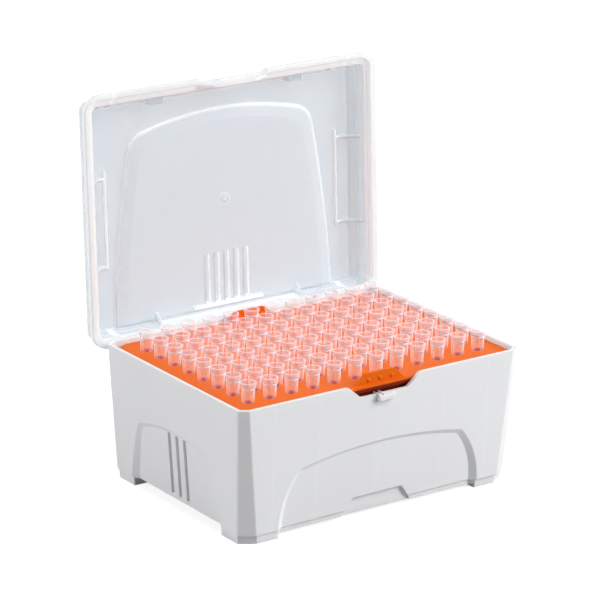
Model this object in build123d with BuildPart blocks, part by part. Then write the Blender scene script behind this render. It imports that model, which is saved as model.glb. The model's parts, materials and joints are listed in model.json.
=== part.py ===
from build123d import *
import os
from math import cos, radians, sin

# Box of pipette tips: hinged transport box with a tray of 96 tips.
# Frame: X runs along the front, Y from the front to the back, Z up, in millimetres.
# The origin is on the ground, in the middle of the footprint of the box with its lid open.

# ---- driving dimensions -------------------------------------------------------------------
# Standard tip grid
PITCH = 9.0
COLUMNS = 12
ROWS = 8

# Base
BASE_W = 120.0  # outer width at the rim
BASE_D = 85.7  # outer depth at the rim
RIM_Z = 49.9  # top of the rim
FOOT_H = 3.2  # height of the step that runs round above the feet
RAIL_Z = 1.4  # underside of the rails under the long walls
END_RAIL_Z = 2.9  # underside between the feet at each end
LONG_DRAFT = 1.4  # how far the long walls lean in from the rim down to the step
END_DRAFT = 2.1  # the same for the two end walls
STEP = 0.5  # how far the feet and rails are set back under the step
WALL = 1.3
FLOOR_Z = 4.6  # top of the floor inside
CORNER_TOP = 3.3  # width of the corner flats along X, at the rim
CORNER_LOW = 5.6  # the same at the step
CORNER_RATIO = 0.64  # their width along Y as a share of that along X
FLOOR_CLEAR = 2.3  # how much further in the cavity is at the floor than at the rim

# Arched panels set into the four walls
FRONT_ARCH = {"foot": 43.2, "waist": 41.4, "corner": 35.2, "rise": 21.1, "crown": 24.7}
SIDE_ARCH = {"foot": 28.0, "waist": 26.0, "corner": 22.5, "rise": 22.6, "crown": 26.3}
ARCH_FILLET = 3.3
BOW_SWELL = 0.02  # how much more every second arc of a shallow curve swells
PANEL_TOP_DEPTH = 0.75
PANEL_LOW_DEPTH = 1.75
JAMB_SLOPE = 1.54  # how far the jamb round each panel runs in for each millimetre of depth
POD_WALL = 2.4  # wall behind the panels

CORNER_SOFT = 1.2  # rounding of the corner flats
FOOT_LEAN = 0.3
NOTCH_TOP = 15.4  # half widths of the finger notch
NOTCH_LOW = 9.9
NOTCH_DEEP = 4.7
NOTCH_R = 2.6
CATCH_HALF = 3.3
CATCH_OUT = 1.8
CATCH_H = 2.9
FINGER_HALF = 10.6  # recess for a fingertip under the front panel, half width at its top
FINGER_H = 4.4
FINGER_DEEP = 1.1
GROOVE_PITCH = 4.8
GROOVE_W = 1.9
GROOVE_DEEP = 0.9
GROOVE_LOW = 1.4  # their ends above the step, and their shift towards the front
GROOVE_TOP = 24.6
GROOVE_SHIFT = 1.0
RIB_XS = (-46.0, -27.0, 0.0, 27.0, 46.0)
RIB_T = 1.2
RIB_D = 4.6
RIB_TOP = 39.3

# Lid
LID_GAP = 0.3  # air between the closed lid and the rim
LID_OVER = 2.95  # how far the flange stands out past the ends of the base
LID_FRONT_OVER = 2.3  # the same past the front
LID_BACK_OVER = 3.8  # and on the hinge side
FLANGE_H = 2.2
REBATE_H = 2.16  # depth of the rebate that drops over the rim
LID_CORNER_R = 6.5
LID_WALL = 1.3
LID_DEPTH = 7.5  # from the rebate up to the inside of the panel
LID_CHAMFER = 2.4
LID_BACK_CHAMFER = 1.2
PANEL_T = 1.2
OPEN_ANGLE = 93.5
LID_IN_W = 117.8  # opening at the rebate
LID_IN_FRONT = 40.7  # its front and back edges, from the middle of the box
LID_IN_BACK = 43.7
LID_IN_R = 2.3
SHOULDER_H = 1.2  # sloping top of the flange
SHOULDER_TAPER = 66.0
ARCH_FOOT = 47.8  # half widths of the arched field
ARCH_WAIST = 45.0
ARCH_CORNER = 39.5
ARCH_FRONT = -26.0  # where its corners and its crown lie, from the middle of the box
ARCH_CROWN = -31.8
ARCH_R = 9.0
ARCH_LIP = 0.8  # the border starts with a steep lip and goes on as a gentle slope
ARCH_LIP_DROP = 0.8
ARCH_BORDER = 4.6
ARCH_DROP = 1.4
GRIP_PITCH = 4.25  # five ribs in the field
GRIP_W = 2.2
GRIP_H = 0.45
RIBS_BACK = 40.6
RIBS_FRONT = 21.4
LEDGE_HALF = 15.2
LEDGE_Y = 40.9
LEDGE_T = 1.2
LEDGE_H = 1.5
SIDE_RIB_X = 50.4
SIDE_RIB_T = 0.8
SIDE_RIB_H = 0.9
SIDE_RIB_BACK = 20.6
SIDE_RIB_FRONT = -15.7
WEB_MID_X = 56.0
WEB_MID_H = 3.0
WEB_H = 6.4
FIN_X = 31.0
FIN_T = 1.0
FIN_L = 4.0
LUG_X = 30.1
LUG_W = 6.0
LUG_L = 2.9
LUG_T = 0.8
LUG_H = 5.4
LIP_HALF = 8.0
LIP_OUT = 1.8
LIP_H = 1.2
LID_CUT = 1.4
TONGUE_GAP = 0.5
GATE_Y = 2.1
GATE_BALL = 5.0
GATE_H = 0.5
ROOT = 0.3  # how far small features run into the wall they stand on

# Hinge
HINGE_OUT = 2.1  # pin axis behind the back wall
HINGE_DROP = 2.0  # pin axis below the rim
HINGE_X = 38.0
PIN_R = 0.95
KNUCKLE_R = 1.75
KNUCKLE_L = 7.0
RUNNING = 0.08  # radial clearance on the pins
EAR_T = 1.2
EAR_R = 1.6
EAR_GAP = 0.3
EAR_ROOT = 4.5  # how far down the wall the ear's foot runs
WEB_TOP = 50.0  # where the hooks' webs end, just inside the flange
HINGE_CUT = 11.2
STOP_X = 20.0
STOP_W = 3.0
STOP_OUT = 1.8
STOP_Z = 46.0
STOP_H = 3.0

# Tray
TRAY_Z = 48.3  # top of the tray
TRAY_T = 2.0
TRAY_GAP = 0.4
TRAY_CORNER = 6.2
SKIRT_IN = 1.0
SKIRT_T = 1.4
HOLE_R = 1.95
TAB_LOW = 10.6  # half widths of the lifting tabs
TAB_TOP = 6.4
TAB_H = 4.2
TAB_R = 2.6
TAB_T = 1.0
TAB_IN = 1.2
DOME_R = 0.95
DOME_PITCH = 5.0
DOME_Z = 1.6

# Tips, heights measured from the seat on the tray
TIP_TOP = 7.2
TIP_RING = 5.15
TIP_LOW = 38.7
TIP_END_R = 0.25
TIP_END_WALL = 0.2
TIP_WAIST_R = 1.25
TIP_WAIST_LOW = 20.0
SEAT_R = 2.15
SEAT_STEP = 0.3
RING_R = 2.42
RING_STEP = 0.12
MOUTH_R = 2.05
MOUTH_WALL = 0.9
BORE_R = 1.4

# ---- values worked out from them ----------------------------------------------------------
LID_FRONT = BASE_D / 2 + LID_FRONT_OVER
LID_BACK = BASE_D / 2 + LID_BACK_OVER
LID_L = LID_FRONT + LID_BACK
LID_MID = (LID_BACK - LID_FRONT) / 2
REBATE_Z = RIM_Z + LID_GAP
FLANGE_Z = REBATE_Z - REBATE_H
LID_IN_Z = REBATE_Z + LID_DEPTH
LID_TOP_Z = LID_IN_Z + PANEL_T
FIELD_Z = LID_IN_Z - ARCH_DROP
HINGE_Y = BASE_D / 2 + HINGE_OUT
HINGE_Z = RIM_Z - HINGE_DROP
LID_IN_D = LID_IN_FRONT + LID_IN_BACK
LID_IN_MID = (LID_IN_BACK - LID_IN_FRONT) / 2
LID_TOP_FRONT = LID_IN_FRONT + LID_WALL - LID_CHAMFER  # front edge of the lid's flat top

# The open lid reaches further back than the box does forward, so the box stands forward
# of the origin by half of the difference.
LID_REACH = HINGE_Y + (LID_TOP_Z - HINGE_Z) + (LID_TOP_FRONT + HINGE_Y) * sin(radians(OPEN_ANGLE - 90))
BOX_Y = -(LID_REACH - BASE_D / 2 - CATCH_OUT) / 2
GROUND = Plane((0, BOX_Y, 0))
GRID_X = [(i - (COLUMNS - 1) / 2) * PITCH for i in range(COLUMNS)]


def across(x, y, z):
    """Plane that faces +X, its local X running to the back, y being from the middle of the box."""
    return Plane((x, BOX_Y + y, z), x_dir=(0, 1, 0), z_dir=(1, 0, 0))


def facing_front(y, z):
    """Plane that faces the front, its local X running to the right."""
    return Plane((0, BOX_Y + y, z), x_dir=(1, 0, 0), z_dir=(0, -1, 0))


# ---- base ---------------------------------------------------------------------------------
def eight_sided(width, depth, cut):
    """Rectangle with its four corners cut off, in the current sketch."""
    x, y = width / 2, depth / 2
    x_cut, y_cut = x - cut, y - CORNER_RATIO * cut
    Polygon((x_cut, y), (x, y_cut), (x, -y_cut), (x_cut, -y),
            (-x_cut, -y), (-x, -y_cut), (-x, y_cut), (-x_cut, y), align=None)


def bow(start, middle, end, parts):
    """Shallow curve through three points, as a chain of short arcs in the current outline."""
    arc = ThreePointArc(start, middle, end, mode=Mode.PRIVATE)
    for i in range(parts):
        left, crest, right = arc @ (i / parts), arc @ ((i + 0.5) / parts), arc @ ((i + 1) / parts)
        chord = (left + right) / 2
        ThreePointArc(left, chord + (crest - chord) * (1 + BOW_SWELL * (i % 2)), right)


def arch(size, grow=0.0):
    """Outline of an arched panel, its foot on the local X axis, in the current sketch."""
    foot, waist, corner = size["foot"] + grow, size["waist"] + grow, size["corner"] + grow
    rise, crown = size["rise"] + grow, size["crown"] + grow
    with BuildLine() as outline:
        Polyline((-foot, 0), (-foot, -FOOT_H), (foot, -FOOT_H), (foot, 0))
        bow((foot, 0), (waist, rise / 2), (corner, rise), 3)
        bow((corner, rise), (0, crown), (-corner, rise), 6)
        bow((-corner, rise), (-waist, rise / 2), (-foot, 0), 3)
    make_face(outline.edges())
    corners = vertices().filter_by(lambda v: abs(v.Y - rise) < 0.01)
    fillet(corners, ARCH_FILLET + grow)


WALL_RISE = RIM_Z - FOOT_H


def wall_plane(direction, half, draft):
    """Plane on the outside of a drafted wall, its origin at the step, local Y up the wall."""
    out = Vector(*direction)
    foot = Vector(0, BOX_Y, FOOT_H) + out * (half - draft)
    normal = out - Vector(0, 0, draft / WALL_RISE)
    return Plane(foot, x_dir=Vector(0, 0, 1).cross(out), z_dir=normal)


WALLS = [
    (wall_plane((0, -1, 0), BASE_D / 2, LONG_DRAFT), FRONT_ARCH),
    (wall_plane((0, 1, 0), BASE_D / 2, LONG_DRAFT), FRONT_ARCH),
    (wall_plane((-1, 0, 0), BASE_W / 2, END_DRAFT), SIDE_ARCH),
    (wall_plane((1, 0, 0), BASE_W / 2, END_DRAFT), SIDE_ARCH),
]


def panel_plane(wall, size, depth=0.0):
    """Sloping plane of an arched panel: shallow at the crown and deep at the foot."""
    slope = (PANEL_LOW_DEPTH - PANEL_TOP_DEPTH) / size["crown"]
    low = wall.origin - wall.z_dir * (PANEL_LOW_DEPTH + depth)
    return Plane(low, x_dir=wall.x_dir, z_dir=wall.z_dir - wall.y_dir * slope)


def arch_recess(wall, size):
    """Solid that is taken out of a wall to leave an arched panel with sloping jambs."""
    depth = PANEL_LOW_DEPTH + 0.15
    with BuildPart() as recess:
        with BuildSketch(wall):
            arch(size)
        with BuildSketch(wall.offset(-depth)):
            arch(size, grow=-JAMB_SLOPE * depth)
        loft()
        with BuildSketch(wall):
            arch(size)
        extrude(amount=1)
        split(bisect_by=panel_plane(wall, size), keep=Keep.TOP)
    return recess.part


def arch_pod(wall, size):
    """Solid that thickens the wall behind an arched panel."""
    with BuildPart() as pod:
        with BuildSketch(wall.offset(-WALL / 2)):
            arch(size, grow=1.0)
        extrude(amount=-(PANEL_LOW_DEPTH + POD_WALL + 1))
        split(bisect_by=panel_plane(wall, size, POD_WALL), keep=Keep.TOP)
        with Locations(GROUND):
            Box(2 * BASE_W, 2 * BASE_D, WALL_RISE, align=(Align.CENTER, Align.CENTER, Align.MIN),
                mode=Mode.INTERSECT)
    return pod.part


pods = [arch_pod(wall, size) for wall, size in WALLS]
recesses = [arch_recess(wall, size) for wall, size in WALLS]
FRONT, BACK, LEFT, RIGHT = (wall for wall, size in WALLS)


def notch_profile(gap=0.0):
    """Outline of the finger notch in the front rim, its top on the local X axis."""
    top, low, deep = NOTCH_TOP - gap, NOTCH_LOW - gap, NOTCH_DEEP - gap
    far = top + NOTCH_R + 1
    with BuildLine() as outline:
        FilletPolyline((far, 0), (top, 0), (low, -deep), (-low, -deep), (-top, 0), (-far, 0),
                       radius=NOTCH_R)
        Polyline((-far, 0), (-far, 2), (far, 2), (far, 0))
    make_face(outline.edges())


def rail_recess(wall, size):
    """Space under an arched panel, where the rail between two feet is set back further."""
    half, deep = size["foot"] + STEP / 2, PANEL_LOW_DEPTH + STEP
    with BuildPart() as under:
        with BuildSketch(Plane(wall.origin - Vector(0, 0, FOOT_H), x_dir=wall.x_dir, z_dir=(0, 0, 1))):
            with BuildLine() as outline:
                Polyline((-half, -1), (half, -1), (half, 0), (half - deep, deep), (deep - half, deep),
                         (-half, 0), (-half, -1))
            make_face(outline.edges())
        extrude(amount=FOOT_H)
    return under.part


def hinge_ear(x):
    """Ear that carries one end of a hinge pin, standing out from the back wall."""
    with BuildPart() as ear:
        with BuildSketch(across(x - EAR_T / 2, HINGE_Y, HINGE_Z)):
            Circle(EAR_R)
            with BuildLine() as outline:
                Polyline((0, EAR_R), (-HINGE_OUT - WALL / 2, EAR_R), (-HINGE_OUT - WALL / 2, -EAR_ROOT),
                         (EAR_R * sin(radians(45)), -EAR_R * cos(radians(45))), (0, EAR_R))
            make_face(outline.edges())
        extrude(amount=EAR_T)
    return ear.part


unders = [rail_recess(wall, size) for wall, size in WALLS]
EAR_X = KNUCKLE_L / 2 + EAR_GAP + EAR_T / 2
ears = [hinge_ear(side * HINGE_X + end * EAR_X) for side in (-1, 1) for end in (-1, 1)]

with BuildPart() as base:
    # Outer walls, from the step up to the rim
    with BuildSketch(GROUND.offset(FOOT_H)):
        eight_sided(BASE_W - 2 * END_DRAFT, BASE_D - 2 * LONG_DRAFT, CORNER_LOW)
    with BuildSketch(GROUND.offset(RIM_Z)):
        eight_sided(BASE_W, BASE_D, CORNER_TOP)
    loft(ruled=True)
    fillet(edges().filter_by(lambda e: abs(e.tangent_at(0.5).Z) > 0.5), CORNER_SOFT)
    # Feet and rails, set back under the step
    foot_w, foot_d = BASE_W - 2 * END_DRAFT - 2 * STEP, BASE_D - 2 * LONG_DRAFT - 2 * STEP
    with BuildSketch(GROUND):
        eight_sided(foot_w - 2 * FOOT_LEAN, foot_d - 2 * FOOT_LEAN, CORNER_LOW)
    with BuildSketch(GROUND.offset(FOOT_H)):
        eight_sided(foot_w, foot_d, CORNER_LOW)
    loft(ruled=True)
    # Cavity
    inner_w, inner_d = BASE_W - 2 * WALL, BASE_D - 2 * WALL
    with BuildSketch(GROUND.offset(FLOOR_Z)):
        eight_sided(inner_w - 2 * FLOOR_CLEAR, inner_d - 2 * FLOOR_CLEAR, CORNER_LOW)
    with BuildSketch(GROUND.offset(RIM_Z)):
        eight_sided(inner_w, inner_d, CORNER_TOP - WALL / 2)
    loft(ruled=True, mode=Mode.SUBTRACT)
    # Ribs inside the long walls that carry the tray
    rib_out = inner_d / 2 + ROOT
    for x in RIB_XS:
        for side in (-1, 1):
            with BuildSketch(across(x - RIB_T / 2, 0, 0)):
                rib_in = side * (rib_out - RIB_D)
                Polygon((rib_in, FLOOR_Z - ROOT), (side * (rib_out - FLOOR_CLEAR), FLOOR_Z - ROOT),
                        (side * (rib_out - 0.5), RIB_TOP), (rib_in, RIB_TOP), align=None)
            extrude(amount=RIB_T)
    # Arched panels with their backing, and the rails under them
    add(pods)
    add(recesses, mode=Mode.SUBTRACT)
    add(unders, mode=Mode.SUBTRACT)
    # Four feet: the underside between them is raised
    with BuildSketch(GROUND):
        Rectangle(2 * FRONT_ARCH["foot"] - 1, BASE_D)
    extrude(amount=RAIL_Z, mode=Mode.SUBTRACT)
    with BuildSketch(GROUND):
        Rectangle(BASE_W, 2 * SIDE_ARCH["foot"] - 1)
    extrude(amount=END_RAIL_Z, mode=Mode.SUBTRACT)
    # Finger recess low in the front panel
    with BuildSketch(panel_plane(FRONT, FRONT_ARCH).offset(-FINGER_DEEP)):
        with Locations((0, FINGER_H / 2 - 1)):
            Trapezoid(2 * FINGER_HALF + 9.0, FINGER_H + 2, 55)
    extrude(amount=PANEL_LOW_DEPTH, mode=Mode.SUBTRACT)
    # Grooves down the two side panels
    for wall in (LEFT, RIGHT):
        with BuildSketch(panel_plane(wall, SIDE_ARCH).offset(-GROOVE_DEEP)):
            for i in (-1, 0, 1):
                shift = GROOVE_SHIFT * wall.x_dir.Y
                with Locations((i * GROOVE_PITCH - shift, (GROOVE_LOW + GROOVE_TOP) / 2)):
                    Rectangle(GROOVE_W, GROOVE_TOP - GROOVE_LOW)
        extrude(amount=GROOVE_DEEP + 0.4, mode=Mode.SUBTRACT)
    # Finger notch in the front rim, with the catch for the lid's tongue
    with BuildSketch(facing_front(-BASE_D / 2 - 1, RIM_Z)):
        notch_profile()
    extrude(amount=-(WALL + 2.5), mode=Mode.SUBTRACT)
    with BuildSketch(across(-CATCH_HALF, -BASE_D / 2, RIM_Z - NOTCH_DEEP)):
        Polygon((WALL / 2, 0), (-CATCH_OUT, -0.3), (-CATCH_OUT, -1.8), (0.3, -CATCH_H),
                (WALL / 2, -CATCH_H), align=None)
    extrude(amount=2 * CATCH_HALF)
    # Hinge ears and pins, and the two stops that the open lid leans on
    add(ears)
    for side in (-1, 1):
        with BuildSketch(across(side * HINGE_X, HINGE_Y, HINGE_Z)):
            Circle(PIN_R)
        extrude(amount=KNUCKLE_L / 2 + EAR_GAP + EAR_T / 2, both=True)
        with Locations((side * STOP_X, BOX_Y + BASE_D / 2 - WALL / 2, STOP_Z)):
            Box(STOP_W, WALL / 2 + STOP_OUT, STOP_H, align=(Align.CENTER, Align.MIN, Align.CENTER))

base.part.label = "base"


# ---- tray ---------------------------------------------------------------------------------
TRAY_W = BASE_W - 2 * WALL - 2 * TRAY_GAP
TRAY_D = BASE_D - 2 * WALL - 2 * TRAY_GAP

with BuildPart() as tip_tray:
    # Plate with cut corners, over a skirt that rests on the ribs of the base
    with BuildSketch(GROUND.offset(TRAY_Z)):
        eight_sided(TRAY_W, TRAY_D, TRAY_CORNER)
    extrude(amount=-TRAY_T)
    with BuildSketch(GROUND.offset(TRAY_Z - TRAY_T)):
        eight_sided(TRAY_W - 2 * SKIRT_IN, TRAY_D - 2 * SKIRT_IN, TRAY_CORNER)
        offset(amount=-SKIRT_T, mode=Mode.SUBTRACT)
    extrude(amount=-(TRAY_Z - TRAY_T - RIB_TOP))
    # Lifting tabs, upright at the middle of both long edges
    for side in (-1, 1):
        tab_y = BOX_Y + side * (TRAY_D / 2 - TAB_IN)
        edge = Plane((0, tab_y, TRAY_Z), x_dir=(-side, 0, 0), z_dir=(0, side, 0))
        tab_foot = TAB_LOW + TAB_R
        with BuildSketch(edge):
            with BuildLine() as outline:
                FilletPolyline((-tab_foot, 0), (-TAB_LOW, 0), (-TAB_TOP, TAB_H), (TAB_TOP, TAB_H),
                               (TAB_LOW, 0), (tab_foot, 0), radius=TAB_R)
                Polyline((tab_foot, 0), (tab_foot, -TRAY_T / 2), (-tab_foot, -TRAY_T / 2), (-tab_foot, 0))
            make_face(outline.edges())
        extrude(amount=-TAB_T)
        with Locations(edge.offset(-TAB_T / 2)):
            with GridLocations(DOME_PITCH, 0, 3, 1):
                with Locations((0, DOME_Z)):
                    Sphere(DOME_R)
    # Seats for the tips
    with BuildSketch(GROUND.offset(TRAY_Z)):
        with GridLocations(PITCH, PITCH, COLUMNS, ROWS):
            Circle(HOLE_R)
    extrude(amount=-TRAY_T, mode=Mode.SUBTRACT)

tip_tray.part.label = "tip_tray"


# ---- tips ---------------------------------------------------------------------------------
with BuildPart() as tip:
    with BuildSketch(Plane.XZ):
        with BuildLine() as outline:
            Polyline(
                (TIP_END_R, -TIP_LOW),  # orifice
                (TIP_END_R + TIP_END_WALL, -TIP_LOW),
                (TIP_WAIST_R, -TIP_WAIST_LOW),
                (SEAT_R - SEAT_STEP, 0),
                (SEAT_R, 0),  # shoulder that sits on the tray
                (RING_R, TIP_RING),
                (RING_R + RING_STEP, TIP_RING),  # ring under the flared collar
                (MOUTH_R + MOUTH_WALL, TIP_TOP),
                (MOUTH_R, TIP_TOP),
                (BORE_R, 0),
                (TIP_END_R, -TIP_LOW),
            )
        make_face(outline.edges())
    revolve(axis=Axis.Z)

columns = []
for i in range(COLUMNS):
    with BuildPart() as tips_column:
        with Locations((GRID_X[i], BOX_Y, TRAY_Z)):
            with GridLocations(0, PITCH, 1, ROWS):
                add(tip.part)
    tips_column.part.label = f"tips_column_{i + 1:02d}"
    columns.append(tips_column.part)


# ---- lid, modelled closed and then swung open ---------------------------------------------
def rounded(width, depth, radius, mid=0.0):
    """Rounded rectangle in the current sketch."""
    with Locations((0, mid)):
        RectangleRounded(width, depth, radius)


def lid_arch(inset=0.0):
    """Outline of the lid's arched field, open towards the hinge, in the current sketch."""
    foot, waist, corner = ARCH_FOOT - inset, ARCH_WAIST - inset, ARCH_CORNER - inset
    front, crown, back = ARCH_FRONT + inset, ARCH_CROWN + inset, LID_IN_BACK - LID_BACK_CHAMFER + ROOT
    with BuildLine() as outline:
        Line((-foot, back), (foot, back))
        bow((foot, back), (waist, (front + back) / 2), (corner, front), 4)
        bow((corner, front), (0, crown), (-corner, front), 8)
        bow((-corner, front), (-waist, (front + back) / 2), (-foot, back), 4)
    make_face(outline.edges())
    fillet(vertices().filter_by(lambda v: abs(v.Y - front) < 0.01), ARCH_R - inset / 2)


def arch_step(top_z):
    """The arched field's drop below top_z, with its steep lip and wide sloping border."""
    with BuildPart() as step:
        for start, end, inset, next_inset in ((0, ARCH_LIP_DROP, 0, ARCH_LIP),
                                              (ARCH_LIP_DROP, ARCH_DROP, ARCH_LIP, ARCH_BORDER)):
            with BuildSketch(GROUND.offset(top_z - start)):
                lid_arch(inset)
            with BuildSketch(GROUND.offset(top_z - end)):
                lid_arch(next_inset)
            loft()
    return step.part


def knuckle(x):
    """Hook that snaps over a hinge pin, with the web that ties it to the flange."""
    with BuildPart() as hook:
        with BuildSketch(across(x, HINGE_Y, HINGE_Z)):
            Circle(KNUCKLE_R)
            with Locations((-0.2, (WEB_TOP - HINGE_Z) / 2)):
                Rectangle(2 * KNUCKLE_R - 1.2, WEB_TOP - HINGE_Z)
            Circle(PIN_R + RUNNING, mode=Mode.SUBTRACT)
            with Locations((KNUCKLE_R, 0)):
                Rectangle(2 * KNUCKLE_R, 2 * PIN_R - 0.5, mode=Mode.SUBTRACT)
        extrude(amount=KNUCKLE_L / 2, both=True)
    return hook.part


def lid_block(top_z, grow=0.0):
    """Solid block with the lid's bevelled form, from the rebate up to top_z."""
    width, depth, radius = LID_IN_W + 2 * grow, LID_IN_D + 2 * grow, LID_IN_R + grow
    top_d = depth - LID_CHAMFER - LID_BACK_CHAMFER
    top_mid = LID_IN_MID + (LID_CHAMFER - LID_BACK_CHAMFER) / 2
    with BuildPart() as block:
        with BuildSketch(GROUND.offset(REBATE_Z)):
            rounded(width, depth, radius, LID_IN_MID)
        extrude(amount=top_z - LID_CHAMFER - REBATE_Z)
        with BuildSketch(GROUND.offset(top_z - LID_CHAMFER)):
            rounded(width, depth, radius, LID_IN_MID)
        with BuildSketch(GROUND.offset(top_z)):
            rounded(width - 2 * LID_CHAMFER, top_d, radius - LID_IN_R / 2, top_mid)
        loft()
    return block.part


with BuildPart() as gate_mark:
    with Locations((0, BOX_Y + GATE_Y, FIELD_Z + GATE_BALL - GATE_H)):
        Sphere(GATE_BALL)
    split(bisect_by=Plane((0, 0, FIELD_Z + 0.3)), keep=Keep.BOTTOM)

lid_shell = lid_block(LID_TOP_Z, LID_WALL)
lid_cavity = lid_block(LID_IN_Z)
outer_step = arch_step(LID_TOP_Z)
inner_step = arch_step(LID_IN_Z)
hooks = [knuckle(side * HINGE_X) for side in (-1, 1)]

with BuildPart() as lid:
    # Flange that drops over the rim
    with BuildSketch(GROUND.offset(FLANGE_Z)):
        rounded(BASE_W + 2 * LID_OVER, LID_L, LID_CORNER_R, LID_MID)
    extrude(amount=FLANGE_H)
    with BuildSketch(GROUND.offset(FLANGE_Z + FLANGE_H)):
        rounded(BASE_W + 2 * LID_OVER, LID_L, LID_CORNER_R, LID_MID)
    extrude(amount=SHOULDER_H, taper=SHOULDER_TAPER)
    # Walls and the bevelled top
    add(lid_shell)
    add(lid_cavity, mode=Mode.SUBTRACT)
    with BuildSketch(GROUND.offset(FLANGE_Z)):
        rounded(BASE_W + 2 * LID_GAP, BASE_D + 2 * LID_GAP, LID_IN_R + LID_WALL)
    extrude(amount=REBATE_H, mode=Mode.SUBTRACT)
    # Arched field, sunk into the top
    add(inner_step)
    add(outer_step, mode=Mode.SUBTRACT)
    # Grip ribs in the field and the ledge that ends them
    with BuildSketch(GROUND.offset(FIELD_Z + ROOT)):
        with Locations((0, (RIBS_BACK + RIBS_FRONT) / 2)):
            with GridLocations(GRIP_PITCH, 0, 5, 1):
                SlotOverall(RIBS_BACK - RIBS_FRONT, GRIP_W, rotation=90)
    extrude(amount=-(GRIP_H + ROOT))
    with Locations(GROUND.offset(FIELD_Z + ROOT)):
        with Locations((0, LEDGE_Y)):
            Box(2 * LEDGE_HALF, LEDGE_T, LEDGE_H + ROOT, align=(Align.CENTER, Align.CENTER, Align.MAX))
    # Long ribs beside the side walls, tied to them by two webs each
    for side in (-1, 1):
        with Locations(GROUND.offset(LID_IN_Z + ROOT)):
            with Locations((side * SIDE_RIB_X, (SIDE_RIB_BACK + SIDE_RIB_FRONT) / 2)):
                Box(SIDE_RIB_T, SIDE_RIB_BACK - SIDE_RIB_FRONT, SIDE_RIB_H + ROOT,
                    align=(Align.CENTER, Align.CENTER, Align.MAX))
        for y in (SIDE_RIB_BACK - 1, SIDE_RIB_FRONT + 3):
            with BuildSketch(facing_front(y - SIDE_RIB_T / 2, LID_IN_Z)):
                with BuildLine() as outline:
                    inner, outer = side * SIDE_RIB_X, side * (LID_IN_W / 2 + ROOT)
                    Line((inner, ROOT), (inner, -SIDE_RIB_H))
                    ThreePointArc((inner, -SIDE_RIB_H), (side * WEB_MID_X, -WEB_MID_H), (outer, -WEB_H))
                    Polyline((outer, -WEB_H), (outer, -LID_CHAMFER),
                             (side * (LID_IN_W / 2 - LID_CHAMFER), ROOT), (inner, ROOT))
                make_face(outline.edges())
            extrude(amount=-SIDE_RIB_T)
        # Fins against the hinge wall and boxed lugs on the front wall
        with BuildSketch(across(side * FIN_X - FIN_T / 2, LID_IN_BACK, FIELD_Z)):
            Polygon((ROOT, ROOT), (-FIN_L, ROOT), (-FIN_L, -0.4), (0, -FIN_L), (ROOT, -FIN_L), align=None)
        extrude(amount=FIN_T)
        with Locations(GROUND.offset(LID_IN_Z - LUG_H)):
            with Locations((side * LUG_X, -LID_IN_FRONT - ROOT)):
                Box(LUG_W, LUG_L + ROOT, LUG_T, align=(Align.CENTER, Align.MIN, Align.MIN))
        for x in (side * LUG_X - LUG_W / 2, side * LUG_X + LUG_W / 2 - LUG_T):
            with BuildSketch(across(x, -LID_IN_FRONT, LID_IN_Z)):
                Polygon((-ROOT, -LUG_H), (LUG_L, -LUG_H), (LUG_L, ROOT), (LID_CHAMFER, ROOT),
                        (-ROOT, -LID_CHAMFER), align=None)
            extrude(amount=LUG_T)
    # Tongue that closes the finger notch, with a lip above the catch
    with BuildSketch(facing_front(-BASE_D / 2, REBATE_Z)):
        notch_profile(TONGUE_GAP)
    extrude(amount=-LID_WALL)
    with Locations(GROUND.offset(REBATE_Z - NOTCH_DEEP + TONGUE_GAP)):
        with Locations((0, -BASE_D / 2 - LIP_OUT)):
            Box(2 * LIP_HALF, LIP_OUT + LID_WALL / 2, LIP_H, align=(Align.CENTER, Align.MIN, Align.MIN))
    # The flange is cut back over the notch and above the hinge ears
    with BuildSketch(GROUND.offset(FLANGE_Z)):
        with Locations((0, -LID_FRONT)):
            Trapezoid(2 * NOTCH_TOP, 2 * LID_CUT, 60)
    extrude(amount=FLANGE_H + SHOULDER_H, mode=Mode.SUBTRACT)
    for side in (-1, 1):
        with Locations(GROUND.offset(FLANGE_Z)):
            with Locations((side * HINGE_X, BASE_D / 2 + LID_BACK_OVER / 2)):
                Box(HINGE_CUT, LID_BACK_OVER + 1, 2 * (WEB_TOP - FLANGE_Z) - 0.4, mode=Mode.SUBTRACT)
    add(hooks)
    add(gate_mark.part)

hinge_axis = Axis((0, BOX_Y + HINGE_Y, HINGE_Z), (1, 0, 0))
lid_open = lid.part.rotate(hinge_axis, -OPEN_ANGLE)
lid_open.label = "lid"

os.makedirs("parts", exist_ok=True)
export_step(base.part, "parts/base.step")
export_step(tip_tray.part, "parts/tip_tray.step")
export_step(lid_open, "parts/lid.step")
for column in columns:
    export_step(column, f"parts/{column.label}.step")
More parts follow.
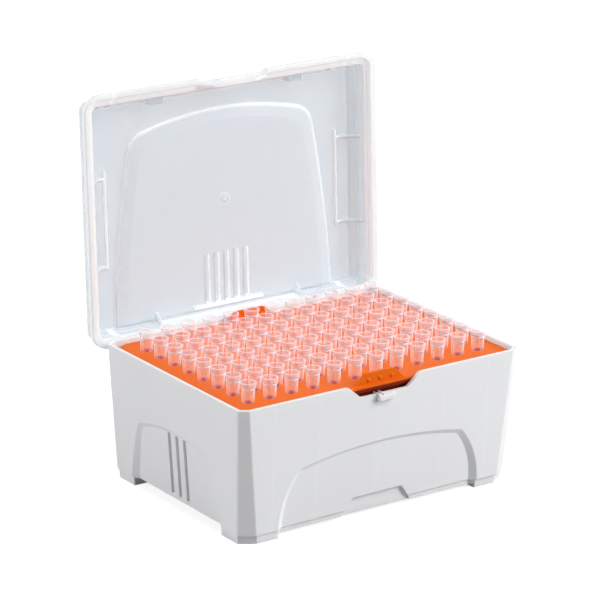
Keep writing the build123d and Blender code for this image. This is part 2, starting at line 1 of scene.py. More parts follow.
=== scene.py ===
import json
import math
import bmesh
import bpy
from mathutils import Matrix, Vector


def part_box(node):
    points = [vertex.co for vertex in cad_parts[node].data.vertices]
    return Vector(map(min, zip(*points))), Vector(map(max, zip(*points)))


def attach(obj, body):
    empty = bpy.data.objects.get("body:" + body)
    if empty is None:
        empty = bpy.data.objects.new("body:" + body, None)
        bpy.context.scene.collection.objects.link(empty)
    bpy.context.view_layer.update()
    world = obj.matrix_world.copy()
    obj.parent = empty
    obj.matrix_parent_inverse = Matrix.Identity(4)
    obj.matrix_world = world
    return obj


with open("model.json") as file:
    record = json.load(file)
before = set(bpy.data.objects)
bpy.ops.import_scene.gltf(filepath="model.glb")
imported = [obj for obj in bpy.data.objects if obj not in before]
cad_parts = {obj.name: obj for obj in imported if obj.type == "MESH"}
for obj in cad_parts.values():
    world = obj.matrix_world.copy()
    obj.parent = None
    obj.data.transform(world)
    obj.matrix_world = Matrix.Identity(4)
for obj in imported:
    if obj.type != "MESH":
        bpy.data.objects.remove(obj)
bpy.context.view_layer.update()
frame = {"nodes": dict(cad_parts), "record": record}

# %% [markdown]
# # A box of pipette tips
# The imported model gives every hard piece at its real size: the white base, the lid on its hinge,
# the orange tray and ninety-six tips. This lesson gives them their finishes, adds a pair of thin
# ribs behind the catch, and sets the light and the camera.
# Lengths are in metres, X to the right, Y to the back and Z up.

nodes = frame["nodes"]

# %% [markdown]
# A small product looks best from well back through a long lens, which keeps its verticals nearly
# parallel. The camera stands to the left of the front and looks down a little on the tips.

# %% Camera
CAMERA_PLACE = (-0.65280, -0.90601, 0.43844)
CAMERA_TURN = (71.4867, -0.8698, -35.4894)  # degrees
LENS_MM = 199.26

camera_data = bpy.data.cameras.new("camera")
camera = bpy.data.objects.new("camera", camera_data)
bpy.context.scene.collection.objects.link(camera)
camera.location = CAMERA_PLACE
camera.rotation_euler = [math.radians(angle) for angle in CAMERA_TURN]
camera_data.lens = LENS_MM
camera_data.sensor_width = 36.0
camera_data.clip_start = 0.05
camera_data.clip_end = 20.0
bpy.context.scene.camera = camera
bpy.context.scene.view_settings.view_transform = "Standard"
print("camera stands", round(camera.location.length, 3), "m from the origin")

# %% [markdown]
# A shader is a graph of nodes. A few short helpers keep the graphs readable: `node` adds a node and
# sets its properties and sockets by name, `link` joins two sockets by name or number, and `feed`
# gives a socket either a plain value or the output of another node.

# %% Helpers for node graphs
def node(tree, kind, sockets=None, **properties):
    """Adds a node of the given kind, with its properties and its unlinked sockets set."""
    made = tree.nodes.new(kind)
    for name, value in properties.items():
        setattr(made, name, value)
    for name, value in (sockets or {}).items():
        made.inputs[name].default_value = value
    return made


def link(tree, source, socket_out, target, socket_in):
    """Joins an output of one node to an input of another, both by name or number."""
    tree.links.new(source.outputs[socket_out], target.inputs[socket_in])


def feed(tree, term, socket):
    """Gives a socket a plain value, or links another node's output to it."""
    if isinstance(term, bpy.types.NodeSocket):
        tree.links.new(term, socket)
    else:
        socket.default_value = term


def new_material(name):
    """A material with an empty graph and its output node."""
    material = bpy.data.materials.new(name)
    material.use_nodes = True
    material.node_tree.nodes.clear()
    return material, material.node_tree, material.node_tree.nodes.new("ShaderNodeOutputMaterial")


print("helpers ready")

# %% [markdown]
# A mask is a number from 0 to 1 that says where an effect shows. It could be painted on an image,
# but a formula stays sharp at any distance and needs no unwrapping. `ramp` turns a measure, such as
# a height, into a mask. `product` is on where all its masks are on, and `largest` where any is.
# A pair of numbers that is given to `ramp` says where its mask begins, and where it is full.

# %% Formulas made of Math nodes
def maths(tree, operation, *terms):
    """The output of a Math node whose inputs are plain numbers or other outputs."""
    made = node(tree, "ShaderNodeMath", operation=operation)
    for socket, term in zip(made.inputs, terms):
        feed(tree, term, socket)
    return made.outputs[0]


def product(tree, first, *others):
    """All terms multiplied: a mask that is on only where every one of them is."""
    for other in others:
        first = maths(tree, "MULTIPLY", first, other)
    return first


def largest(tree, first, *others):
    """The largest term at each point: a mask that is on wherever any of them is."""
    for other in others:
        first = maths(tree, "MAXIMUM", first, other)
    return first


def ramp(tree, value, start, end):
    """Rises from 0 to 1 as value goes from start to end, which may be the lower of the two."""
    made = node(tree, "ShaderNodeMapRange", {"From Min": start, "From Max": end})
    tree.links.new(value, made.inputs["Value"])
    return made.outputs[0]


def band(tree, value, rise, fall):
    """Is 1 between two ramps, each given by its start and its end."""
    return product(tree, ramp(tree, value, *rise), ramp(tree, value, *fall))


def less(tree, mask, loss):
    """Is 1 where the mask is off, and lower by the loss where it is on."""
    return maths(tree, "MULTIPLY_ADD", mask, -loss, 1.0)


print("formulas ready")

# %% [markdown]
# The studio has five soft lamps. A big one to the right lights the front at a slant, a second high
# up in front brightens rims and the tops of the tips, a third lights the left side from a little
# behind, and a weak one hangs overhead. Nothing shines from the camera's side, so the corner that
# faces it stays a calm grey. The last is a weak fill that keeps the back from going dull. It is
# hidden from gloss, because its reflection would lie as a glare on the tray.

# %% Lamps
LAMP_AIM = (0.0, 0.0, 0.05)
LAMPS = {  # name: place, width, height, watts
    "lamp_right": ((0.95, -0.85, 0.55), 0.5, 0.7, 12.5),
    "lamp_above": ((0.35, -0.75, 1.00), 0.6, 0.6, 7.0),
    "lamp_left": ((-1.15, 0.35, 0.55), 0.5, 0.7, 10.2),
    "lamp_top": ((0.0, 0.1, 1.25), 0.8, 0.8, 3.5),
    "lamp_back": ((0.55, 1.15, 0.50), 0.7, 0.5, 3.5),
}
NO_GLARE = ("lamp_back",)


def soft_lamp(name, place, width, height, watts):
    """A rectangular lamp at place, turned to shine at the middle of the box."""
    data = bpy.data.lights.new(name, "AREA")
    data.shape = "RECTANGLE"
    data.size, data.size_y = width, height
    data.energy = watts
    lamp = bpy.data.objects.new(name, data)
    bpy.context.scene.collection.objects.link(lamp)
    lamp.location = place
    lamp.rotation_euler = (Vector(LAMP_AIM) - Vector(place)).to_track_quat("-Z", "Y").to_euler()
    lamp.visible_glossy = name not in NO_GLARE


for lamp_name, lamp_values in LAMPS.items():
    soft_lamp(lamp_name, *lamp_values)
print("studio lit by", len(LAMPS), "lamps")

# %% [markdown]
# The world is the air round the studio. It looks white to the camera, to gloss and through clear
# plastic, yet gives hardly any light, so the lamps alone shape the box. The Light Path node tells
# these uses apart.

# %% World
WHITE = (1.0, 1.0, 1.0, 1.0)
WORLD_LIGHT = 0.03


def seen_by_eye(tree):
    """Is 1 for what the camera sees directly, in a reflection or through clear plastic."""
    path = node(tree, "ShaderNodeLightPath").outputs
    return largest(tree, path["Is Camera Ray"], path["Is Glossy Ray"], path["Is Transmission Ray"])


world = bpy.data.worlds.new("studio")
bpy.context.scene.world = world
world.use_nodes = True
sky = world.node_tree
sky.nodes.clear()
sky_out = sky.nodes.new("ShaderNodeOutputWorld")
sky_mix = node(sky, "ShaderNodeMixShader")
sky_light = node(sky, "ShaderNodeBackground", {"Color": WHITE, "Strength": WORLD_LIGHT})
sky_white = node(sky, "ShaderNodeBackground", {"Color": WHITE, "Strength": 1.0})
feed(sky, seen_by_eye(sky), sky_mix.inputs[0])
link(sky, sky_light, 0, sky_mix, 1)
link(sky, sky_white, 0, sky_mix, 2)
link(sky, sky_mix, 0, sky_out, 0)
print("world gives", WORLD_LIGHT, "of the white that it shows")

# %% [markdown]
# The floor is plain pale card with a glow that only the camera, gloss and clear plastic see.
# Together they are bright enough to vanish into the background, and the card still takes the soft
# shadow under the feet.

# %% Floor
CARD_TONES = {"To Min": 0.49, "To Max": 0.51}
CARD_GLOW = 0.75

floor_mesh = bpy.data.meshes.new("floor")
floor_bm = bmesh.new()
bmesh.ops.create_grid(floor_bm, x_segments=1, y_segments=1, size=4.0)
floor_bm.to_mesh(floor_mesh)
floor_bm.free()
floor = bpy.data.objects.new("floor", floor_mesh)
bpy.context.scene.collection.objects.link(floor)

card, card_tree, card_out = new_material("white_card")
card_where = node(card_tree, "ShaderNodeTexCoord")
card_speck = node(card_tree, "ShaderNodeTexNoise", {"Scale": 220.0, "Detail": 3.0})
card_tone = node(card_tree, "ShaderNodeMapRange", CARD_TONES)
card_body = node(card_tree, "ShaderNodeBsdfDiffuse")
card_glow = node(card_tree, "ShaderNodeEmission", {"Color": WHITE, "Strength": CARD_GLOW})
card_both = node(card_tree, "ShaderNodeAddShader")
card_seen = node(card_tree, "ShaderNodeMixShader")
link(card_tree, card_where, "Object", card_speck, "Vector")
link(card_tree, card_speck, "Fac", card_tone, "Value")
link(card_tree, card_tone, 0, card_body, "Color")
link(card_tree, card_body, 0, card_both, 0)
link(card_tree, card_glow, 0, card_both, 1)
feed(card_tree, seen_by_eye(card_tree), card_seen.inputs[0])
link(card_tree, card_body, 0, card_seen, 1)
link(card_tree, card_both, 0, card_seen, 2)
link(card_tree, card_seen, 0, card_out, 0)
floor.data.materials.append(card)
print("floor laid")

# %% [markdown]
# Injection-moulded plastic has two things in common whatever its colour: the steel mould leaves a
# very fine satin grain, and every edge is rounded by a few tenths of a millimetre, so it catches
# the light as a thin line. One shared group makes both. Its Normal rounds the edges and carries the
# grain, Edge is a mask of those rounded edges, and Cloud is a slow drift in tone.

# %% Shared finish: its inputs and outputs
FINISH_INPUTS = {
    "Edge Radius": 0.0004, "Edge Turn": 0.80,
    "Grain Size": 2200.0, "Grain Depth": 0.12,
    "Cloud Size": 28.0,
}
FINISH_OUTPUTS = {"Normal": "NodeSocketVector", "Edge": "NodeSocketFloat", "Cloud": "NodeSocketFloat"}

moulded = bpy.data.node_groups.new("moulded_grain", "ShaderNodeTree")
for name, value in FINISH_INPUTS.items():
    socket = moulded.interface.new_socket(name=name, in_out="INPUT", socket_type="NodeSocketFloat")
    socket.default_value = value
for name, kind in FINISH_OUTPUTS.items():
    moulded.interface.new_socket(name=name, in_out="OUTPUT", socket_type=kind)
print("shared finish takes", ", ".join(FINISH_INPUTS))

# %% [markdown]
# Inside the group, a Bevel node bends the normals near an edge without changing the mesh. How far
# they bend away from the flat face is the Edge mask. A fine noise goes into a Bump node for the
# grain, and a coarse noise is the Cloud.

# %% Shared finish: moulded grain and soft edges
GRAIN_HEIGHT = 0.00004
EDGE_STARTS = 0.995  # the cosine of the bend at which an edge begins

grain_in = node(moulded, "NodeGroupInput")
grain_out = node(moulded, "NodeGroupOutput")
grain_where = node(moulded, "ShaderNodeTexCoord")
grain_noise = node(moulded, "ShaderNodeTexNoise", {"Detail": 2.0, "Roughness": 0.6})
grain_round = node(moulded, "ShaderNodeBevel", samples=4)
grain_bump = node(moulded, "ShaderNodeBump", {"Distance": GRAIN_HEIGHT})
grain_flat = node(moulded, "ShaderNodeNewGeometry")
grain_turn = node(moulded, "ShaderNodeVectorMath", operation="DOT_PRODUCT")
grain_edge = node(moulded, "ShaderNodeMapRange", {"From Min": EDGE_STARTS})
grain_cloud = node(moulded, "ShaderNodeTexNoise", {"Detail": 3.0, "Roughness": 0.55})
link(moulded, grain_where, "Object", grain_noise, "Vector")
link(moulded, grain_in, "Grain Size", grain_noise, "Scale")
link(moulded, grain_in, "Edge Radius", grain_round, "Radius")
link(moulded, grain_round, "Normal", grain_bump, "Normal")
link(moulded, grain_noise, "Fac", grain_bump, "Height")
link(moulded, grain_in, "Grain Depth", grain_bump, "Strength")
link(moulded, grain_bump, "Normal", grain_out, "Normal")
link(moulded, grain_round, "Normal", grain_turn, 0)
link(moulded, grain_flat, "True Normal", grain_turn, 1)
link(moulded, grain_turn, "Value", grain_edge, "Value")
link(moulded, grain_in, "Edge Turn", grain_edge, "From Max")
link(moulded, grain_edge, 0, grain_out, "Edge")
link(moulded, grain_where, "Object", grain_cloud, "Vector")
link(moulded, grain_in, "Cloud Size", grain_cloud, "Scale")
link(moulded, grain_cloud, "Fac", grain_out, "Cloud")
print("shared finish has", len(moulded.nodes), "nodes")

# %% [markdown]
# The base, the tray and the lid start alike: a Principled BSDF whose normals come from the shared
# finish, and a colour that drifts between two tones and changes where a mask is on. Along the Edge
# mask each paints its rounded edges paler, a painted highlight. Each then adds its own marks, placed
# by coordinates or directions of the piece itself, so they move with it.

# %% The start of a moulded plastic
def moulded_plastic(name, principled, grain):
    """A material with the shared finish: itself, its graph, its body's inputs, the finish's outputs."""
    material, tree, out = new_material(name)
    body = node(tree, "ShaderNodeBsdfPrincipled", principled)
    finish = node(tree, "ShaderNodeGroup", node_tree=moulded)
    for key, value in grain.items():
        finish.inputs[key].default_value = value
    link(tree, finish, "Normal", body, "Normal")
    link(tree, body, 0, out, 0)
    return material, tree, body.inputs, finish.outputs


def mix_colour(tree, mask, plain, marked):
    """Turns from the plain colour to the marked one as the mask goes on; each may be an output."""
    made = node(tree, "ShaderNodeMix", data_type="RGBA")
    mask_in, plain_in, marked_in = made.inputs[0], made.inputs[6], made.inputs[7]
    feed(tree, mask, mask_in)
    for colour, socket in ((plain, plain_in), (marked, marked_in)):
        feed(tree, (*colour, 1.0) if isinstance(colour, tuple) else colour, socket)
    return made.outputs[2]


def split(tree, vector):
    """The X, Y and Z of a vector."""
    made = node(tree, "ShaderNodeSeparateXYZ")
    tree.links.new(vector, made.inputs[0])
    return made.outputs


def dress(name, material):
    """Puts one material on a node of the model."""
    slots = nodes[name].data.materials
    slots.clear()
    slots.append(material)


print("ready to dress", len(nodes), "nodes")

# %% [markdown]
# The base is white polypropylene, satin rather than glossy. It is thick enough to look solid, with
# only a little light carried under the skin. Where a rib stands behind the front wall, the plastic
# sinks very slightly as it cools, which leaves a faint upright line. The dent is far too shallow to
# model, so the light it catches is painted: each line is a pale painted highlight on the faces that
# look to the front.

# %% White base
BASE_DARK, BASE_LIGHT, BASE_EDGE_HIGHLIGHT = (0.78, 0.785, 0.80), (0.82, 0.825, 0.835), (0.97, 0.97, 0.975)
SINK_HIGHLIGHT_TONE = (0.98, 0.98, 0.98)
SINK_XS = (-0.046, -0.027, -0.0024, -0.0008, 0.0265, 0.046)
SINK_WIDTH = (0.0006, 0.0002)
SINK_FACES = (-0.9, -0.97)
SINK_HIGHLIGHT_STRENGTH = 0.10

white_plastic, base_tree, base_body, base_finish = moulded_plastic(
    "white_plastic",
    {"Roughness": 0.55, "Specular IOR Level": 0.15, "Subsurface Weight": 0.12,
     "Subsurface Scale": 0.002, "Subsurface Radius": (1.0, 0.95, 0.9)},
    {"Grain Depth": 0.08},
)
base_where = node(base_tree, "ShaderNodeTexCoord").outputs
base_place = split(base_tree, base_where["Object"])
base_faces = split(base_tree, base_where["Normal"])
base_sink_highlight = 0.0
for sink_x in SINK_XS:
    off = maths(base_tree, "ABSOLUTE", maths(base_tree, "SUBTRACT", base_place["X"], sink_x))
    base_sink_highlight = maths(base_tree, "ADD", ramp(base_tree, off, *SINK_WIDTH), base_sink_highlight)
base_front = ramp(base_tree, base_faces["Y"], *SINK_FACES)
base_sink_highlight = product(base_tree, base_sink_highlight, base_front, SINK_HIGHLIGHT_STRENGTH)
base_drift = mix_colour(base_tree, base_finish["Cloud"], BASE_DARK, BASE_LIGHT)
# painted highlight: the rounded edges are painted paler along the Edge mask
base_tone = mix_colour(base_tree, base_finish["Edge"], base_drift, BASE_EDGE_HIGHLIGHT)
# painted highlight: pale upright lines where the sink marks would catch the light
base_tone = mix_colour(base_tree, base_sink_highlight, base_tone, SINK_HIGHLIGHT_TONE)
feed(base_tree, base_tone, base_body["Base Color"])
dress("base", white_plastic)
print("base dressed, with", len(SINK_XS), "sink lines")

# %% [markdown]
# The tray is orange, with a soft gloss. Its deck glows in the light from above. Its skirt is seen
# only at the front, through the finger notch and in the shade of the box. That shade is painted: the
# colour sinks to a deep red-brown just below the deck, but only on the front skirt.

# %% Orange tray
TRAY_DARK, TRAY_LIGHT, TRAY_EDGE_HIGHLIGHT = (0.74, 0.121, 0.001), (0.78, 0.133, 0.002), (0.92, 0.22, 0.02)
SKIRT_PAINTED_SHADE = (0.17, 0.011, 0.004)
TIP_ABOVE = 0.0072  # how far a tip stands out of the tray
first_low, first_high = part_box("tips_column_01")
DECK_Z = first_high[2] - TIP_ABOVE
SKIRT_TOP = (DECK_Z - 0.0009, DECK_Z - 0.0006)
SKIRT_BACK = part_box("tip_tray")[0][1] + 0.0045
SKIRT_END = (SKIRT_BACK, SKIRT_BACK + 0.0005)

orange_plastic, tray_tree, tray_body, tray_finish = moulded_plastic(
    "orange_plastic",
    {"Roughness": 0.36, "Specular IOR Level": 0.08, "Subsurface Weight": 0.15,
     "Subsurface Scale": 0.0015, "Subsurface Radius": (1.0, 0.3, 0.1)},
    {"Grain Depth": 0.06},
)
tray_place = split(tray_tree, node(tray_tree, "ShaderNodeTexCoord").outputs["Object"])
tray_lit = largest(
    tray_tree, ramp(tray_tree, tray_place["Z"], *SKIRT_TOP), ramp(tray_tree, tray_place["Y"], *SKIRT_END),
)
tray_drift = mix_colour(tray_tree, tray_finish["Cloud"], TRAY_DARK, TRAY_LIGHT)
# painted highlight: the rounded edges are painted a lighter orange along the Edge mask
tray_tone = mix_colour(tray_tree, tray_finish["Edge"], tray_drift, TRAY_EDGE_HIGHLIGHT)
# painted shade: the front skirt below the deck is painted a deep red-brown
tray_tone = mix_colour(tray_tree, tray_lit, SKIRT_PAINTED_SHADE, tray_tone)
feed(tray_tree, tray_tone, tray_body["Base Color"])
dress("tip_tray", orange_plastic)
print("tray dressed, its deck at", round(DECK_Z, 4))

# %% [markdown]
# The lid is the same family of plastic with no pigment. Its skin is thin and milky: it hides part of
# what is behind it and scatters the rest, so a flat panel is a cool pale grey. Refraction is the
# usual way to make clear plastic, but thin sheets hardly bend light, so Alpha does it here. The eye
# looks through many walls one behind another, so Cycles is allowed more see-through steps.
#
# Where the plastic turns a corner or stands up as a rib, it is seen edge-on: it hides more of what is
# behind it, and its glow and highlights are painted white. The next steps build masks of those
# places. They measure how deep a point lies in the lid, from the hinge and square to the rim. The
# lid's own coordinates turn with it, so the marks stay in place.

# %% Milky lid: its plastic, and how deep a point lies in it
WALLS_SEEN_THROUGH = 40
lid_hinge = frame["record"]["behaviour"]["joints"][0]
hinge = Vector(lid_hinge["pos_m"])
LID_OPEN = math.radians(lid_hinge["range_deg"][1])
LID_SQUARE = Vector((0.0, math.sin(LID_OPEN), math.cos(LID_OPEN)))  # from the rim into the lid

bpy.context.scene.cycles.transparent_max_bounces = WALLS_SEEN_THROUGH
milky_plastic, lid_tree, lid_body, lid_finish = moulded_plastic(
    "milky_plastic",
    {"Roughness": 0.25, "IOR": 1.49, "Specular IOR Level": 0.25, "Subsurface Weight": 0.5,
     "Subsurface Scale": 0.004, "Subsurface Radius": (1.25, 1.0, 0.85)},
    {"Grain Depth": 0.03, "Edge Radius": 0.0008, "Edge Turn": 0.92},
)


def reach(tree, vector, direction):
    """How far a vector reaches along a direction."""
    made = node(tree, "ShaderNodeVectorMath", operation="DOT_PRODUCT")
    made.inputs[1].default_value = direction
    tree.links.new(vector, made.inputs[0])
    return made.outputs["Value"]


lid_where = node(lid_tree, "ShaderNodeTexCoord").outputs
lid_place = split(lid_tree, lid_where["Object"])
lid_aside = maths(lid_tree, "ABSOLUTE", lid_place["X"])
lid_deep = reach(lid_tree, lid_where["Object"], LID_SQUARE)
lid_deep = maths(lid_tree, "SUBTRACT", lid_deep, hinge.dot(LID_SQUARE))
print("lid opens by", round(math.degrees(LID_OPEN), 1), "degrees")

# %% [markdown]
# Three things stand up from the lid's skin: the flange round its rim, a thin rib along each side,
# and low in the middle a field of upright grip ribs on a ledge. All get a painted white glow, the
# ledge all over. Each grip rib gets one thin painted highlight line, so X is wrapped by the ribs'
# pitch and the points near the line are marked.

# %% Milky lid: flange, side ribs and grip ribs
FLANGE_DEEP, FLANGE_GLOW = (0.0031, 0.0024), 0.88
SIDE_RIB_DEEP = (0.0097, 0.0095)
SIDE_RIB_NEAR, SIDE_RIB_FAR = (0.0490, 0.0496), (0.0520, 0.0514)
GRIP_DEEP, GRIP_SIDE, GRIP_TOP = (0.0084, 0.0082), (0.031, 0.030), (0.080, 0.079)
GRIP_PITCH = 0.00425
GRIP_LINE = 0.00075  # where the line nearest the middle lies
GRIP_LINE_WIDTH = (0.0005, 0.0003)
GRIP_LINE_HIGHLIGHT, GRIP_SKIN_GLOW = 1.0, 0.05
LEDGE_Z = hinge.z + 0.0050
LEDGE_TOP = (LEDGE_Z + 0.0002, LEDGE_Z - 0.0002)

# painted glow on the flange and the side ribs
lid_flange = product(lid_tree, ramp(lid_tree, lid_deep, *FLANGE_DEEP), FLANGE_GLOW)
lid_ribs = band(lid_tree, lid_aside, SIDE_RIB_NEAR, SIDE_RIB_FAR)
lid_ribs = product(lid_tree, ramp(lid_tree, lid_deep, *SIDE_RIB_DEEP), lid_ribs)
lid_line = maths(lid_tree, "SUBTRACT", lid_place["X"], GRIP_LINE)
lid_line = maths(lid_tree, "ABSOLUTE", maths(lid_tree, "WRAP", lid_line, GRIP_PITCH / 2, -GRIP_PITCH / 2))
lid_line = ramp(lid_tree, lid_line, *GRIP_LINE_WIDTH)
# painted highlight: one bright line on each grip rib, and a painted glow on the ledge
lid_line = maths(lid_tree, "MULTIPLY_ADD", lid_line, GRIP_LINE_HIGHLIGHT - GRIP_SKIN_GLOW, GRIP_SKIN_GLOW)
lid_line = largest(lid_tree, lid_line, ramp(lid_tree, lid_place["Z"], *LEDGE_TOP))
lid_low = ramp(lid_tree, lid_place["Z"], *GRIP_TOP)
lid_grips = product(
    lid_tree, ramp(lid_tree, lid_deep, *GRIP_DEEP), ramp(lid_tree, lid_aside, *GRIP_SIDE),
    lid_low, lid_line,
)
print("grip lines every", GRIP_PITCH, "m above", round(LEDGE_Z, 4))

# %% [markdown]
# The lid's big arched panel is set off by a narrow slope, which gets a painted highlight line. It is
# found by its depth and by its tilt: only the slope leans, and the flat panels on both sides do not.
# The shared Edge mask paints a highlight on corners everywhere, which would fill the grip field, so
# it is calmed there.

# %% Milky lid: the slope round the arch, and every white place together
ARCH_NEAR, ARCH_FAR, ARCH_SIDE = (0.0090, 0.0093), (0.0098, 0.0097), (0.0470, 0.0465)
ARCH_TILT, ARCH_HIGHLIGHT = (0.985, 0.96), 0.95
CALM_SIDE, CALM_FOOT, CALM_LOSS = (0.0110, 0.0105), (LEDGE_Z, LEDGE_Z + 0.0005), 0.88

lid_tilt = maths(lid_tree, "ABSOLUTE", reach(lid_tree, lid_where["Normal"], LID_SQUARE))
# painted highlight along the slope round the arch
lid_arch = product(
    lid_tree, band(lid_tree, lid_deep, ARCH_NEAR, ARCH_FAR), ramp(lid_tree, lid_aside, *ARCH_SIDE),
    ramp(lid_tree, lid_tilt, *ARCH_TILT), ARCH_HIGHLIGHT,
)
lid_calm = product(
    lid_tree, ramp(lid_tree, lid_aside, *CALM_SIDE), lid_low, ramp(lid_tree, lid_place["Z"], *CALM_FOOT),
)
# painted highlight on the rounded edges, calmed in the grip field
lid_edge_highlight = product(lid_tree, lid_finish["Edge"], less(lid_tree, lid_calm, CALM_LOSS))
lid_dense_painted_white = largest(lid_tree, lid_grips, lid_ribs, lid_flange, lid_arch, lid_edge_highlight)
print("lid's graph has", len(lid_tree.nodes), "nodes")

# %% [markdown]
# One mask of the white places drives both the colour, where it paints the glow and highlights white,
# and Alpha, where the plastic hides more. For shadow rays Alpha is lower, because milky plastic
# passes on much of the light that it scatters, and its shadow is pale.

# %% Milky lid: colour and thin wall
LID_DARK, LID_LIGHT, LID_PAINTED_WHITE = (0.515, 0.578, 0.638), (0.545, 0.608, 0.668), (0.95, 0.965, 0.98)
SKIN_HIDES, WHITE_HIDES = 0.50, 0.92
LID_SHADOW_LOSS = 0.7

lid_drift = mix_colour(lid_tree, lid_finish["Cloud"], LID_DARK, LID_LIGHT)
# painted glow and highlights: the white places are painted near-white over the pale grey skin
feed(lid_tree, mix_colour(lid_tree, lid_dense_painted_white, lid_drift, LID_PAINTED_WHITE), lid_body["Base Color"])
lid_cover = maths(lid_tree, "MULTIPLY_ADD", lid_dense_painted_white, WHITE_HIDES - SKIN_HIDES, SKIN_HIDES)
lid_shadow = node(lid_tree, "ShaderNodeLightPath").outputs["Is Shadow Ray"]
lid_cover = product(lid_tree, lid_cover, less(lid_tree, lid_shadow, LID_SHADOW_LOSS))
feed(lid_tree, lid_cover, lid_body["Alpha"])
dress("lid", milky_plastic)
print("lid dressed, hiding", SKIN_HIDES, "to", WHITE_HIDES, "of what is behind it")

# %% [markdown]
# The tips are clear, thin and faintly milky, and stand on a square grid. Their small marks repeat on
# every tip and round each tip. To draw them once for all ninety-six, X and Y are wrapped by the
# pitch, which gives the place in one tip. From that come the distance from its axis, which tells the
# outer wall from the bore, and the turn round it. Heights are measured from the tray's deck.

# %% Clear tips: the place in one tip
TIP_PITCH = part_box("tips_column_02")[0][0] - first_low[0]
FIRST_X = (first_low[0] + first_high[0]) / 2
ROW_Y = (first_low[1] + first_high[1] + TIP_PITCH) / 2
TIP_FINS = 8
OUTER_WALL = (0.00215, 0.00230)

clear_plastic, tip_tree, tip_out = new_material("clear_plastic")
tip_place = split(tip_tree, node(tip_tree, "ShaderNodeTexCoord").outputs["Object"])
half_pitch = TIP_PITCH / 2
tip_x = maths(tip_tree, "SUBTRACT", tip_place["X"], FIRST_X)
tip_x = maths(tip_tree, "WRAP", tip_x, half_pitch, -half_pitch)
tip_y = maths(tip_tree, "SUBTRACT", tip_place["Y"], ROW_Y)
tip_y = maths(tip_tree, "WRAP", tip_y, half_pitch, -half_pitch)
tip_z = maths(tip_tree, "SUBTRACT", tip_place["Z"], DECK_Z)
tip_far = maths(tip_tree, "ADD", maths(tip_tree, "POWER", tip_x, 2.0), maths(tip_tree, "POWER", tip_y, 2.0))
tip_outer = ramp(tip_tree, maths(tip_tree, "SQRT", tip_far), *OUTER_WALL)
tip_turn = maths(tip_tree, "MULTIPLY", maths(tip_tree, "ARCTAN2", tip_y, tip_x), TIP_FINS / math.tau)
tip_wave = maths(tip_tree, "PINGPONG", tip_turn, 0.5)
print("tips repeat every", round(TIP_PITCH, 4), "m")

# %% [markdown]
# Each tip has fine upright fins on its body, a ring below its collar, a bright foot where it meets
# the deck and a rounded mouth. They are fine and shallow, and there are ninety-six of each, so they
# are marks and not mesh. They show as paler, less see-through places on the outer wall.

# %% Clear tips: fins, ring, foot and mouth
FIN_WAVE, FIN_FOOT, FIN_TOP, FIN_HIDES = (0.40, 0.46), (0.0003, 0.0006), (0.0052, 0.0050), 0.40
RING_FOOT, RING_TOP, RING_HIDES = (0.00485, 0.00495), (0.0055, 0.0054), 0.90
FOOT_TOP, FOOT_HIDES = (0.0004, 0.0002), 0.60
MOUTH_FOOT, MOUTH_HIDES = (0.0055, 0.0057), 0.22

tip_fin = product(
    tip_tree, ramp(tip_tree, tip_wave, *FIN_WAVE), band(tip_tree, tip_z, FIN_FOOT, FIN_TOP),
    tip_outer, FIN_HIDES,
)
tip_ring = product(tip_tree, band(tip_tree, tip_z, RING_FOOT, RING_TOP), tip_outer, RING_HIDES)
tip_foot = product(tip_tree, ramp(tip_tree, tip_z, *FOOT_TOP), tip_outer, FOOT_HIDES)
tip_mouth = ramp(tip_tree, tip_z, *MOUTH_FOOT)
tip_marks = largest(tip_tree, tip_fin, tip_ring, tip_foot, product(tip_tree, tip_mouth, MOUTH_HIDES))
print("each tip has", TIP_FINS, "fins")

# %% [markdown]
# Below the deck the bore is a dark well, and on its wall that faces the eye the tray seen through
# the tip is painted as a deep red spot. A clear wall is densest along its outline. Layer Weight gives
# how far a wall turns from the eye, as it does for glass, and serves for both.

# %% Clear tips: bore and outline
WELL_TOP, WELL_HIDES = (0.0001, -0.0001), 0.30
SPOT_FACING, SPOT_HIDES = (0.50, 0.25), 0.80
OUTLINE_FACING, OUTER_OUTLINE, BORE_OUTLINE = (0.25, 0.65), 0.45, 0.12
WALL_HIDES = 0.10

tip_facing = node(tip_tree, "ShaderNodeLayerWeight", {"Blend": 0.5}).outputs["Facing"]
tip_well = product(tip_tree, ramp(tip_tree, tip_z, *WELL_TOP), maths(tip_tree, "SUBTRACT", 1.0, tip_outer))
# painted refraction: the red of the tray seen through the tip, on the bore wall facing the eye
tip_painted_spot = product(tip_tree, tip_well, ramp(tip_tree, tip_facing, *SPOT_FACING))
tip_outline = maths(tip_tree, "MULTIPLY_ADD", tip_outer, OUTER_OUTLINE, BORE_OUTLINE)
tip_outline = product(tip_tree, ramp(tip_tree, tip_facing, *OUTLINE_FACING), tip_outline)
tip_cover = largest(
    tip_tree, tip_marks, product(tip_tree, tip_well, WELL_HIDES), product(tip_tree, tip_painted_spot, SPOT_HIDES),
    maths(tip_tree, "ADD", tip_outline, WALL_HIDES),
)
print("a plain wall hides", WALL_HIDES, "of what is behind it")

# %% [markdown]
# As on the lid, Alpha makes the walls thin and their shadows paler. Walls met from their inner side
# are fainter, or near and far side would add up to a fog. Clear plastic also carries light inside its
# walls and gives it out all over, which path tracing finds only slowly. Leaning the normals upward,
# to where most of the light comes from, gives nearly the same glow.

# %% Clear tips: thin walls, glow and colour
INSIDE_LOSS, TIP_SHADOW_LOSS = 0.75, 0.8
LEAN_UP = (0.0, 0.0, 0.9)
TIP_TONE_PAINTED_PINK, MOUTH_TONE_PAINTED_PINK, SPOT_PAINTED_TRAY_RED = (1.0, 0.90, 0.94), (1.0, 0.78, 0.80), (0.72, 0.03, 0.04)

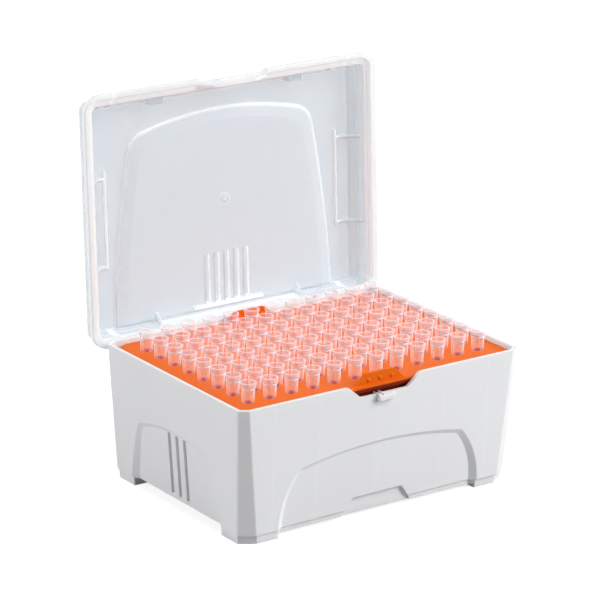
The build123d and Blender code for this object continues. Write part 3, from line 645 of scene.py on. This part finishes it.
tip_body = node(
    tip_tree, "ShaderNodeBsdfPrincipled", {"Roughness": 0.2, "IOR": 1.49, "Specular IOR Level": 0.15},
)
link(tip_tree, tip_body, 0, tip_out, 0)
tip_surface = node(tip_tree, "ShaderNodeNewGeometry")
tip_shadow = node(tip_tree, "ShaderNodeLightPath").outputs["Is Shadow Ray"]
tip_alpha = product(
    tip_tree, tip_cover, less(tip_tree, tip_surface.outputs["Backfacing"], INSIDE_LOSS),
    less(tip_tree, tip_shadow, TIP_SHADOW_LOSS),
)
feed(tip_tree, tip_alpha, tip_body.inputs["Alpha"])

tip_lean = node(tip_tree, "ShaderNodeVectorMath", operation="ADD")
tip_lean.inputs[1].default_value = LEAN_UP
tip_unit = node(tip_tree, "ShaderNodeVectorMath", operation="NORMALIZE")
link(tip_tree, tip_surface, "Normal", tip_lean, 0)
link(tip_tree, tip_lean, 0, tip_unit, 0)
link(tip_tree, tip_unit, 0, tip_body, "Normal")

# painted light: the pale pink, deeper at the mouth, stands in for orange light from the tray in the clear
# walls
tip_painted_pink = mix_colour(tip_tree, tip_mouth, TIP_TONE_PAINTED_PINK, MOUTH_TONE_PAINTED_PINK)
# painted refraction: the deep red spot in the bore
feed(tip_tree, mix_colour(tip_tree, tip_painted_spot, tip_painted_pink, SPOT_PAINTED_TRAY_RED), tip_body.inputs["Base Color"])
tip_columns = [name for name in nodes if name.startswith("tips_column")]
for name in tip_columns:
    dress(name, clear_plastic)
print(len(tip_columns), "columns of tips dressed")

# %% [markdown]
# One detail is a piece of its own: a pair of thin ribs that run from the catch back into the finger
# notch. They are cubes drawn out to bars, with their edges bevelled, and stay just low enough for the
# closed lid's tongue to clear them. They belong to the white base, so they ride with the box.

# %% Ribs behind the catch
box_low, box_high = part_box("base")
RIB_SIZE = (0.0006, 0.0048, 0.0010)
RIB_XS = (-0.0029, -0.0010)
RIB_Y = box_low[1] + 0.0030
RIB_Z = box_high[2] - 0.0048
RIB_ROUNDING = 0.00015


def finished_piece(name, bm, material, body):
    """Turns a bmesh into an object with a material that rides on a body."""
    mesh = bpy.data.meshes.new(name)
    bm.to_mesh(mesh)
    bm.free()
    piece = bpy.data.objects.new(name, mesh)
    bpy.context.scene.collection.objects.link(piece)
    mesh.materials.append(material)
    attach(piece, body)
    return piece


catch_bm = bmesh.new()
for rib_x in RIB_XS:
    bar = bmesh.ops.create_cube(catch_bm, size=1.0)["verts"]
    bmesh.ops.scale(catch_bm, vec=RIB_SIZE, verts=bar)
    bmesh.ops.translate(catch_bm, vec=(rib_x, RIB_Y, RIB_Z), verts=bar)
bmesh.ops.bevel(
    catch_bm, geom=catch_bm.edges[:], offset=RIB_ROUNDING, segments=2, affect="EDGES",
    profile=0.5, material=-1,
)
catch_ribs = finished_piece("catch_ribs", catch_bm, white_plastic, "box")
print("ribs behind the catch:", len(catch_ribs.data.polygons), "faces")
